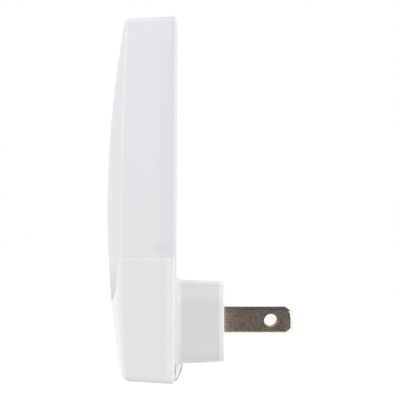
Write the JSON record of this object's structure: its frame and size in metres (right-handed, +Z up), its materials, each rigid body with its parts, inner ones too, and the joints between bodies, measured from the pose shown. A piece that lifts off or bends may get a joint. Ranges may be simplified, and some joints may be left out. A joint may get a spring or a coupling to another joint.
{
  "type": "plug-in night light",
  "caption": "Automatic plug-in night light: tall frosted pillow-front lens over a white case, with a two-blade plug body and a clear light-sensor window at the rear.",
  "frame": {"origin": "centre of the plug's flat contact face, midway between the two blades", "axes": "+Y out of the contact face, along the blades and into the socket; +Z up; X across the width; the lens faces -Y"},
  "size_m": [0.054, 0.0468, 0.0911],
  "materials": {
    "frosted_lens": "frosted translucent polycarbonate",
    "white_case": "satin moulded white ABS",
    "white_back": "satin moulded white ABS",
    "plated_brass": "nickel-plated brass strip, lightly mottled",
    "clear_window": "clear moulded acrylic",
    "reflector_white": "matte white",
    "white_board": "white solder mask",
    "led_package": "white package with yellow phosphor",
    "green_board": "green solder mask on glass-fibre board",
    "capacitor_case": "moulded box",
    "capacitor_sleeve": "shrink sleeve",
    "moulded_black": "moulded epoxy",
    "resistor_coating": "lacquer",
    "diode_glass": "glass tube",
    "photocell_face": "ceramic disc under clear resin",
    "black_insulation": "soft PVC",
    "white_insulation": "soft PVC",
    "red_insulation": "soft PVC",
    "screw_steel": "zinc plated"
  },
  "bodies": {
    "root": {"lens": "frosted_lens", "front_housing": "white_case", "back_cover": "white_back", "plug_face_plate": "white_back", "blade_line": "plated_brass", "blade_neutral": "plated_brass", "line_wire": "black_insulation", "neutral_wire": "white_insulation", "reflector_tray": "reflector_white", "led_board": "white_board", "leds": "led_package", "driver_board": "green_board", "film_capacitor": "capacitor_case", "smoothing_capacitor": "capacitor_sleeve", "bridge_rectifier": "moulded_black", "fusible_resistor": "resistor_coating", "bleed_resistors": "resistor_coating", "zener_diode": "diode_glass", "transistor": "moulded_black", "photocell": "photocell_face", "photocell_sleeve": "black_insulation", "sensor_window": "clear_window", "board_screws": "screw_steel", "link_wires": "red_insulation"}
  },
  "joints": []
}
